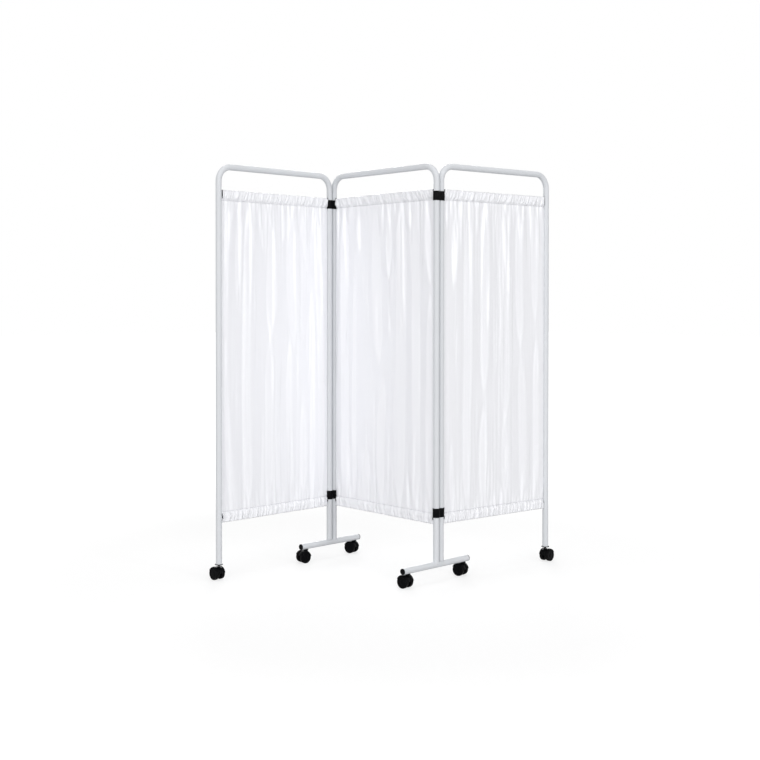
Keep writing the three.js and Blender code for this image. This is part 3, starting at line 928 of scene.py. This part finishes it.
def end_taper(from_end, at_seam, length):
    """How wide and how tall a fold is near an end: narrow at a seam, and drawn to a point elsewhere."""
    if at_seam:
        widening, rise = smoothstep(0, 0.15, from_end), smoothstep(0, 0.08, from_end)
        return 0.30 + 0.70 * widening, 0.45 + 0.55 * rise
    point = min(POINT_LENGTH, 0.6 * length)
    share = np.clip(from_end / point, 0, 1)
    return share * (1.6 - 0.6 * share), smoothstep(-0.03, 0.2, share) * (from_end > 0)


def broad_folds(side, x, z, random):
    """The slopes of the broad folds: bands that face to one side, steeper along both edges."""
    start, width, slope = blank(x)
    for *percents, half_width in BROAD_FOLDS[side]:
        first, last, x_first, x_half, x_last = (percent / 100 for percent in percents)
        share = ((seam_high - z) / (seam_high - seam_low) - first) / (last - first)
        t = np.clip(share, 0, 1)
        line = x_first * (1 - t) * (1 - 2 * t) + x_half * 4 * t * (1 - t) + x_last * t * (2 * t - 1)
        line = start + width * line + wander(random, z, FOLD_WANDER)
        length = (last - first) * (seam_high - seam_low)
        half, strength = 1, 1 + wander(random, z, FOLD_UNEVEN)
        for from_end, at_seam in ((share * length, first == 0), ((1 - share) * length, last == 1)):
            narrow, low = end_taper(from_end, at_seam, length)
            half, strength = half * narrow, strength * low
        half = np.maximum(half_width / 1000 * half, 0.001)
        off = x - line
        band = 0.5 * (np.tanh((off + half) / FOLD_EDGE) - np.tanh((off - half) / FOLD_EDGE))
        edges = 0
        for edge in (-1, 1):
            place = off - edge * np.maximum(half - FOLD_LINE, 0)
            edges = edges + (0.5 + wander(random, z, 0.5)) * np.exp(-(place / FOLD_LINE) ** 2)
        slope += strength * (FOLD_SLOPE[side] * band + FOLD_LINE_SLOPE[side] * edges)
    return slope


def fine_creases(x, z, random):
    """The slopes of long thin creases between the broad folds, pointed at both ends."""
    count, half_lengths, slant, widths, slopes = CREASES
    start, width, slope = blank(x)
    for _ in range(count):
        half_length = random.uniform(*half_lengths)
        t = (z - random.uniform(cloth_low, cloth_high)) / half_length
        line = start + width * random.uniform(0.02, 0.98) + random.uniform(-slant, slant) * t
        size = random.uniform(*widths)
        slope += random.uniform(*slopes) * np.clip(1 - t * t, 0, 1) * ridge(x, line, size, 0)
    return slope


def spindles(x, z, random):
    """The slopes of lens-shaped folds with pointed ends, as satin makes between its gathers."""
    count, half_lengths, slant, widths, slopes = SPINDLES
    start, width, slope = blank(x)
    for index in range(count):
        half_length = random.uniform(*half_lengths)
        centre_z = random.uniform(seam_low, seam_high)
        if index % 2 == 0:
            centre_z = seam_high - half_length * random.uniform(0.3, 0.9)
        t = (z - centre_z) / half_length
        shape = np.clip(1 - t * t, 0, 1)
        line = start + width * random.uniform(0.03, 0.97)
        line = line + random.uniform(-slant, slant) * t + random.uniform(-0.75, 0.75) * slant * t * t
        size = random.uniform(*widths) * (0.15 + 0.85 * shape)
        slope += random.uniform(*slopes) * shape ** 0.8 * ridge(x, line, size, 0, 2.5)
    return slope


def thin_folds(side, x, z, random):
    """The slopes of thin folds that face either way. Most run down from the upper seam."""
    count, half_lengths, slant, widths, slopes = THIN_FOLDS
    start, width, slope = blank(x)
    for _ in range(count):
        half_length = random.uniform(*half_lengths)
        place = random.choice(["upper", "upper", "lower", "between"])
        centre_z = random.uniform(seam_low, seam_high)
        if place == "upper":
            centre_z = seam_high - half_length * random.uniform(0.0, 0.8)
        if place == "lower":
            centre_z = seam_low + half_length * random.uniform(0.0, 0.8)
        t = (z - centre_z) / half_length
        line = start + width * random.uniform(0.015, 0.985) + random.uniform(-slant, slant) * t
        strength = THIN_FOLD_SLOPE[side] * random.choice([1, 1, -0.8]) * random.uniform(*slopes)
        size = random.uniform(*widths)
        slope += strength * np.clip(1 - t * t, 0, 1) * ridge(x, line, size, 0)
    return slope


def gathers(x, z, seam, away, random):
    """The slopes of the fine gathers that a seam draws in. They flare and fade away from it."""
    count, widths, slopes = GATHERS
    start, width, slope = blank(x)
    open_side = np.maximum(0, (z - seam) * away)
    for index in range(count):
        reach = random.uniform(0.08, 0.16) if index % 4 == 0 else random.uniform(0.02, 0.06)
        line = start + width * (index + random.uniform(0.0, 1.0)) / count
        line = line + random.uniform(-0.09, 0.09) * open_side
        size = random.uniform(*widths) + random.uniform(0.03, 0.07) * open_side
        height = random.uniform(*slopes) * np.exp(-(open_side / reach) ** 2)
        slope += height * ridge(x, line, size, random.uniform(-0.5, 0.5))
    return slope


def relief(side, x, slope):
    """How far the cloth stands out: its slopes add up across it, less their broad averages."""
    step = (x[0, -1] - x[0, 0]) / (COLUMNS - 1)
    reach = int(2.5 * FOLD_SPREAD / step)
    kernel = np.exp(-(np.arange(-reach, reach + 1) * step / FOLD_SPREAD) ** 2)
    kernel /= kernel.sum()
    padded = np.pad(slope, ((0, 0), (reach, reach)), mode="reflect")
    broad = np.array([np.convolve(row, kernel, mode="valid") for row in padded])
    out = np.cumsum(slope - broad, axis=1) * step * -FOLD_SIDE[side]
    return out - out.mean(axis=1, keepdims=True)


def pleats(x, into, lean, random):
    """The close slanting pleats of a casing at each place across it and height over its seam."""
    count, widths, heights = PLEATS
    start, width, out = blank(x)
    for index in range(count):
        foot = start + width * (index + random.uniform(-0.3, 1.0)) / count
        line = foot + lean * random.uniform(0.2, 1.3) * into
        size = random.uniform(*widths) * (1 + 0.3 * into / CASING)
        fade = 1 - random.uniform(0, 0.8) * smoothstep(0.2, 1, into / CASING)
        out += random.uniform(*heights) * fade * ridge(x, line, size, random.uniform(-0.6, 0.6), 1.6)
    return out - out.mean(axis=1, keepdims=True)


def near(low, high, blur, value):
    """One between two values, fading to zero within a blur outside them."""
    return smoothstep(low - blur, low, value) * (1 - smoothstep(high, high + blur, value))


def cloth_start(z, bracket, covers=False):
    """How far from a post's axis the cloth starts. It leaves room for clips and for uncovered sockets."""
    room = np.zeros_like(z)
    for level in ("upper", "lower"):
        low, high = (corner.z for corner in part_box(f"left_{level}_hinge_clip"))
        room = np.maximum(room, CLIP_RELIEF * near(low - 0.001, high + 0.001, 0.011, z))
    for height, below in () if covers else ((rod_high, bracket), (rod_low, 0)):
        low, high = height - SOCKET_ROOM - below, height + SOCKET_ROOM
        room = np.maximum(room, SOCKET_RELIEF * near(low, high, 0.006, z))
    return tube_radius + SIDE_GAP + room


def casing_half(height_from_seam):
    """Half the casing's thickness at a height from its seam: flat there, and closed round at its far edge."""
    swell = CASING_HALF * smoothstep(0, CASING * 0.35, height_from_seam)
    to_edge = np.clip((CASING - height_from_seam) / CASING_HALF, 0, 1)
    return np.maximum(CLOTH * 0.8, swell * np.sqrt(1 - (1 - to_edge) ** 2))


def strip_rows():
    """The heights of the strip's rows, and their layers: 1 at the back, -1 at the front, 0 for the body."""
    rise = np.linspace(0, 1, CASING_ROWS)
    rise = 0.5 * rise + 0.5 * np.sin(rise * math.pi / 2)
    body = np.linspace(0, 1, BODY_ROWS)
    body = body - ROW_CLUSTER * np.sin(2 * np.pi * body) / (2 * np.pi)
    up, down = seam_high + CASING * rise, seam_low - CASING * rise
    body = seam_high - (seam_high - seam_low) * body
    heights = np.concatenate([up, up[::-1][1:], body[1:], down[1:], down[::-1][1:]])
    casing = CASING_ROWS - 1
    return heights, np.repeat((1, -1, 0, -1, 1), (CASING_ROWS, casing, BODY_ROWS - 1, casing, casing))


def casing_ruffle(side, x, above, below, layer, random):
    """How far the pleats stand out from each face of the casings."""
    into = above + below
    lean = -PLEAT_LEAN * FOLD_SIDE[side]
    faces = []
    for _ in range(2):
        upper = pleats(x, above, lean, random) * (above > 0)
        faces.append(upper + pleats(x, below, -0.5 * lean, random) * (below > 0))
    ruffle = PLEAT_DEPTH[side] * np.where(layer > 0, *faces) * smoothstep(0, 0.008, into)
    return ruffle * smoothstep(0, CASING_HALF * 1.2, CASING - into)


def socket_cover(x, z):
    """The share of each place that lies over the outer sockets, and half the room that they take."""
    from_post = post_spacing - tube_radius - x
    share = 1 - smoothstep(SOCKET_RELIEF + COVER_SWELL[0], SOCKET_RELIEF + COVER_SWELL[1], from_post)
    to_top = np.maximum(0, rod_high - BRACKET_DROP - z) + np.maximum(0, z - rod_high)
    away = np.minimum(to_top, np.abs(z - rod_low))
    return share, share * np.sqrt(np.clip((SOCKET_ROOM + 0.0002) ** 2 - away ** 2, 0, None))


def from_nearer(z, high, low):
    return np.minimum(np.abs(z - high), np.abs(z - low))


def curtain_strip(side, seed):
    """The cloth as one strip of points: up the top casing's back, down the front, round the bottom rod."""
    random = np.random.default_rng(seed)
    heights, layers = strip_rows()
    z = np.repeat(heights[:, None], COLUMNS, 1)
    layer = np.repeat(layers[:, None], COLUMNS, 1)
    covers = side == COVERED_SIDE
    first = cloth_start(z, 0)
    last = post_spacing - cloth_start(z, BRACKET_DROP if side != "centre" else 0, covers)
    x = first + (last - first) * np.linspace(0, 1, COLUMNS)[None, :]
    slope = broad_folds(side, x, z, random) + fine_creases(x, z, random) + spindles(x, z, random)
    slope += gathers(x, z, seam_high, -1, random) + gathers(x, z, seam_low, 1, random)
    slope += thin_folds(side, x, z, np.random.default_rng(seed + 100))
    out = relief(side, x, slope)
    from_side = np.minimum(x - first, last - x)
    out = FOLD_LIMIT * np.tanh(out / FOLD_LIMIT) * smoothstep(-0.004, 0.016, from_side)
    above, below = np.maximum(0, z - seam_high), np.maximum(0, seam_low - z)
    into = above + below
    ruffle = casing_ruffle(side, x, above, below, layer, random)
    to_rod = from_nearer(z, rod_high, rod_low)
    room = np.sqrt(np.clip((ROD_RADIUS + ROD_ROOM) ** 2 - to_rod ** 2, 0, None))
    at_socket, socket_room = socket_cover(x, z) if covers else (0, 0)
    room = np.maximum(np.maximum(room, socket_room), CLOTH * 0.8)
    shared = -out * (1 - smoothstep(0, CASING * 0.6, into) * 0.6)
    shared *= smoothstep(0.002, 0.014, to_rod) * (z < rod_high) * (1 - at_socket)
    thick = np.maximum(casing_half(into) + ruffle, room)
    y = np.where(layer == 0, -out, shared + layer * thick)
    to_seam = from_nearer(z, seam_high, seam_low)
    y = y + SEAM_GROOVE * np.exp(-(to_seam / SEAM_GROOVE_REACH) ** 2) * np.where(layer > 0, 0, 1)
    short, strength, long = SCALLOP_WAVE
    wave = np.abs(np.sin(x / short + strength * np.sin(x / long)))
    scallop = SCALLOP * wave * smoothstep(0.5, 1, into / CASING)
    z = z + np.where(z > (cloth_low + cloth_high) / 2, -1, 1) * scallop
    return np.stack([x, y * -FRONT[side], z], axis=-1)


def sheet_mesh(name, grid, thickness):
    """A closed mesh of a sheet's two faces and its rim, from a grid of points."""
    rows, columns, _ = grid.shape
    across = np.gradient(grid, axis=1)
    along = np.gradient(grid, axis=0)
    normal = np.cross(across, along)
    normal /= np.maximum(np.linalg.norm(normal, axis=-1, keepdims=True), 1e-12)
    layers = [(grid + normal * thickness * side / 2).reshape(-1, 3) for side in (1, -1)]
    points = np.concatenate(layers)
    index = np.arange(rows * columns).reshape(rows, columns)
    quads = np.stack([index[:-1, :-1], index[:-1, 1:], index[1:, 1:], index[1:, :-1]], axis=-1).reshape(-1, 4)
    other = rows * columns
    rim = np.concatenate([index[0], index[1:, -1], index[-1, -2::-1], index[-2:0:-1, 0]])
    ahead = np.roll(rim, -1)
    edge = np.stack([rim, rim + other, ahead + other, ahead], axis=-1)
    faces = np.concatenate([quads, quads[:, ::-1] + other, edge])
    mesh = bpy.data.meshes.new(name)
    mesh.from_pydata(points.tolist(), [], faces.tolist())
    mesh.validate()
    mesh.update()
    mesh.shade_smooth()
    return mesh


def stitching(row, facing):
    """Stitches along a row of the cloth's points, just proud of the face that looks to +Y or -Y."""
    travel = np.concatenate([[0], np.cumsum(np.linalg.norm(np.diff(row, axis=0), axis=-1))])
    forms = []
    for start in np.arange(STITCH_GAP, travel[-1] - STITCH, STITCH + STITCH_GAP):
        rings = []
        for share, size in STITCH_SHAPE:
            here = start + share * STITCH
            at, ahead = (np.array([np.interp(place, travel, row[:, axis]) for axis in range(3)])
                         for place in (here, here + THREAD_RADIUS))
            along = Vector(ahead - at).normalized()
            up = Vector((0, 0, 1))
            out = along.cross(up).normalized()
            centre = Vector(at) + Vector((0, facing, 0)) * (CLOTH / 2 + THREAD_RADIUS * (0.9 * size - 0.2))
            rings.append([centre + (out * p.x + up * p.y) * size for p in circle(THREAD_RADIUS, 6)])
        forms.append(skin(rings))
    return joined(*forms)


def add_curtains():
    for seed, (side, (body, matrix)) in enumerate(PANELS.items()):
        grid = curtain_strip(side, seed + 11)
        name = f"{side}_curtain_cloth"
        cloth = piece(name, sheet_mesh(name, grid, CLOTH), CURTAIN, matrix, body, [f"{side}_curtain"])
        front, upper = FRONT[side], 2 * CASING_ROWS - 2
        rows = ((upper, front), (upper + BODY_ROWS - 1, front), (0, -front), (-1, -front))
        # The stitches' dark thread is painted shade along each seam.
        seams = joined(*(stitching(grid[row], facing) for row, facing in rows))
        name = f"{side}_curtain_stitching"
        thread = piece(name, mesh_of(name, seams), THREAD, matrix, body)


# Stage, lights and camera

def stage_material():
    """A white studio floor that keeps a faint shadow."""
    nodes = Nodes("studio_floor")
    seen = nodes.seen()
    distance = nodes.add("ShaderNodeVectorMath", {0: nodes.place}, operation="LENGTH").outputs["Value"]
    share = nodes.ramp(distance, *FLOOR_WHITE_REACH, FLOOR_GLOW_SHARE, 1, interpolation_type="SMOOTHSTEP")
    glow = nodes.add("ShaderNodeEmission", {"Strength": FLOOR_GLOW})
    shader = nodes.tree.nodes["Principled BSDF"]
    nodes.mix(nodes.math("MULTIPLY", seen, share), shader, glow, "Material Output")
    return nodes.set(Base_Color=nodes.ramp(seen, 0, 1, *FLOOR_WHITE), Roughness=0.9, Specular_IOR_Level=0)


def add_stage():
    mesh = bpy.data.meshes.new("floor")
    corners = [(x * FLOOR_SIZE, y * FLOOR_SIZE, 0) for x, y in ((-1, -1), (1, -1), (1, 1), (-1, 1))]
    mesh.from_pydata(corners, [], [(0, 1, 2, 3)])
    mesh.materials.append(stage_material())
    floor = new_object("floor", mesh)


def add_world():
    """A white world for the camera and for gloss, and a dimmer fill for the light on the object."""
    nodes = Nodes("studio", "worlds")
    bpy.context.scene.world = nodes.owner
    fill, white = nodes.tree.nodes["Background"], nodes.add("ShaderNodeBackground")
    for shader, strength in ((fill, FILL), (white, 1.0)):
        nodes.put((1, 1, 1), shader.inputs["Color"])
        nodes.put(strength, shader.inputs["Strength"])
    nodes.mix(nodes.seen(), fill, white, "World Output")


def point_at(obj, place, direction):
    obj.location = place
    obj.rotation_euler = direction.to_track_quat("-Z", "Y").to_euler()


def add_light(name, place, size, energy):
    light = bpy.data.lights.new(name, "AREA")
    light.shape = "RECTANGLE"
    light.size, light.size_y = size
    light.energy = energy
    point_at(new_object(name, light), place, AIM - Vector(place))


def add_camera():
    camera = bpy.data.cameras.new("camera")
    camera.lens = LENS
    camera.sensor_width = SENSOR
    camera.shift_x, camera.shift_y = SHIFT
    camera.clip_end = 100
    holder = new_object("camera", camera)
    point_at(holder, CAMERA_PLACE, CAMERA_FORWARD)
    bpy.context.scene.camera = holder


bpy.context.scene.view_settings.view_transform = "Standard"
add_camera()
add_world()
for name, (place, size, power) in LIGHTS.items():
    add_light(name, place, size, power)
add_stage()
add_frames()
add_feet()
add_clips()
add_rods()
add_castors()
add_curtains()
